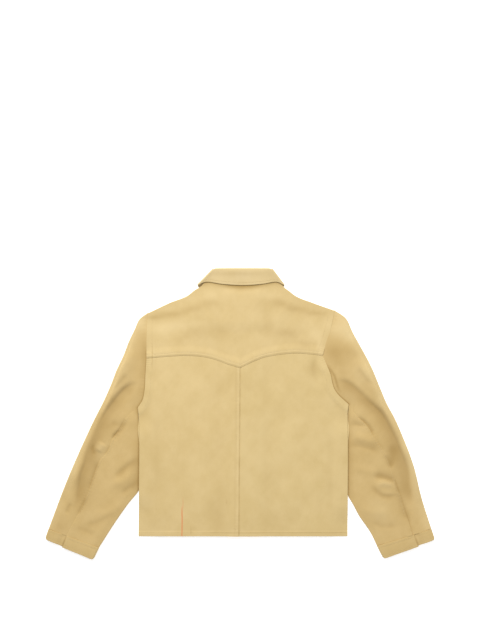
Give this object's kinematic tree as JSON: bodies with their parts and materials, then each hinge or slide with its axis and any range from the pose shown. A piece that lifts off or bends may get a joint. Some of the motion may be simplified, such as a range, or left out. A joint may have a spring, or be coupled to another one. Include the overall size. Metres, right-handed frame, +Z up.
{
  "type": "leather jacket",
  "caption": "Suede shirt jacket laid flat, back up: pointed back yoke, centre-back seam, turned-down collar, and sleeves with lapped cuffs angled down beside the body.",
  "frame": {"origin": "middle of the underside, where the jacket rests on the surface", "axes": "+X to the right as seen from above with the collar up, +Y towards the collar, +Z up out of the surface the jacket lies on"},
  "size_m": [1.0402, 0.7761, 0.0158],
  "materials": {
    "suede_back_yoke": "matte suede nap",
    "suede_back_left": "matte suede nap",
    "suede_back_right": "matte suede nap",
    "suede_front_left": "matte suede nap",
    "suede_front_right": "matte suede nap",
    "suede_collar_stand": "matte suede nap",
    "suede_collar_fall": "matte suede nap",
    "suede_sleeve_left": "matte suede nap",
    "suede_sleeve_right": "matte suede nap",
    "suede_cuff_left": "matte suede nap",
    "suede_cuff_right": "matte suede nap",
    "horn_button": "turned horn, satin"
  },
  "bodies": {
    "root": {"back_yoke": "suede_back_yoke", "back_left": "suede_back_left", "back_right": "suede_back_right", "front_left": "suede_front_left", "front_right": "suede_front_right", "collar_stand": "suede_collar_stand", "collar_fall": "suede_collar_fall", "sleeve_left": "suede_sleeve_left", "sleeve_right": "suede_sleeve_right", "cuff_left": "suede_cuff_left", "cuff_right": "suede_cuff_right", "button_front_1": "horn_button", "button_front_2": "horn_button", "button_front_3": "horn_button", "button_front_4": "horn_button", "button_front_5": "horn_button", "button_front_6": "horn_button", "button_collar": "horn_button"}
  },
  "joints": []
}
